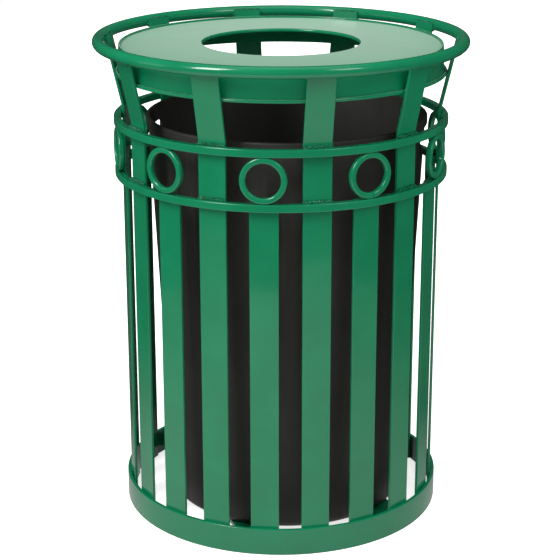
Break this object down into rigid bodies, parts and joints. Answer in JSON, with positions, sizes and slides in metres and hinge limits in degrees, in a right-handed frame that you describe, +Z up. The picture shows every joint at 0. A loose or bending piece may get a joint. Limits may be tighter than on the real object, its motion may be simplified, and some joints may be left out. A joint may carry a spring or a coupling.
{
  "type": "outdoor trash can",
  "caption": "Round slatted steel outdoor trash can with flared rim, lift-off flat lid with a round hole, and lift-out tapered liner.",
  "frame": {"origin": "on the ground at the middle of the cage", "axes": "+Z up, -Y out through the middle of the first short slat"},
  "size_m": [0.6399, 0.64, 0.84],
  "materials": {
    "green_steel": "gloss",
    "black_plastic": "matte"
  },
  "bodies": {
    "cage": {"rim_ring": "green_steel", "upper_hoop": "green_steel", "lower_hoop": "green_steel", "ground_band": "green_steel", "base_bar_left": "green_steel", "base_bar_right": "green_steel", "short_slat_01": "green_steel", "short_slat_02": "green_steel", "short_slat_03": "green_steel", "short_slat_04": "green_steel", "short_slat_05": "green_steel", "short_slat_06": "green_steel", "short_slat_07": "green_steel", "short_slat_08": "green_steel", "short_slat_09": "green_steel", "short_slat_10": "green_steel", "long_slat_01": "green_steel", "long_slat_02": "green_steel", "long_slat_03": "green_steel", "long_slat_04": "green_steel", "long_slat_05": "green_steel", "long_slat_06": "green_steel", "long_slat_07": "green_steel", "long_slat_08": "green_steel", "long_slat_09": "green_steel", "long_slat_10": "green_steel", "scroll_ring_01": "green_steel", "scroll_ring_02": "green_steel", "scroll_ring_03": "green_steel", "scroll_ring_04": "green_steel", "scroll_ring_05": "green_steel", "scroll_ring_06": "green_steel", "scroll_ring_07": "green_steel", "scroll_ring_08": "green_steel", "scroll_ring_09": "green_steel", "scroll_ring_10": "green_steel"},
    "liner": {"liner": "black_plastic"},
    "lid": {"lid": "green_steel"}
  },
  "joints": [
    {"name": "liner_lift", "type": "slide", "parent": "cage", "child": "liner", "axis": [0, 0, 1], "range_m": [0, 0.84]},
    {"name": "lid_lift", "type": "slide", "parent": "liner", "child": "lid", "axis": [0, 0, 1], "range_m": [0, 0.15]}
  ]
}
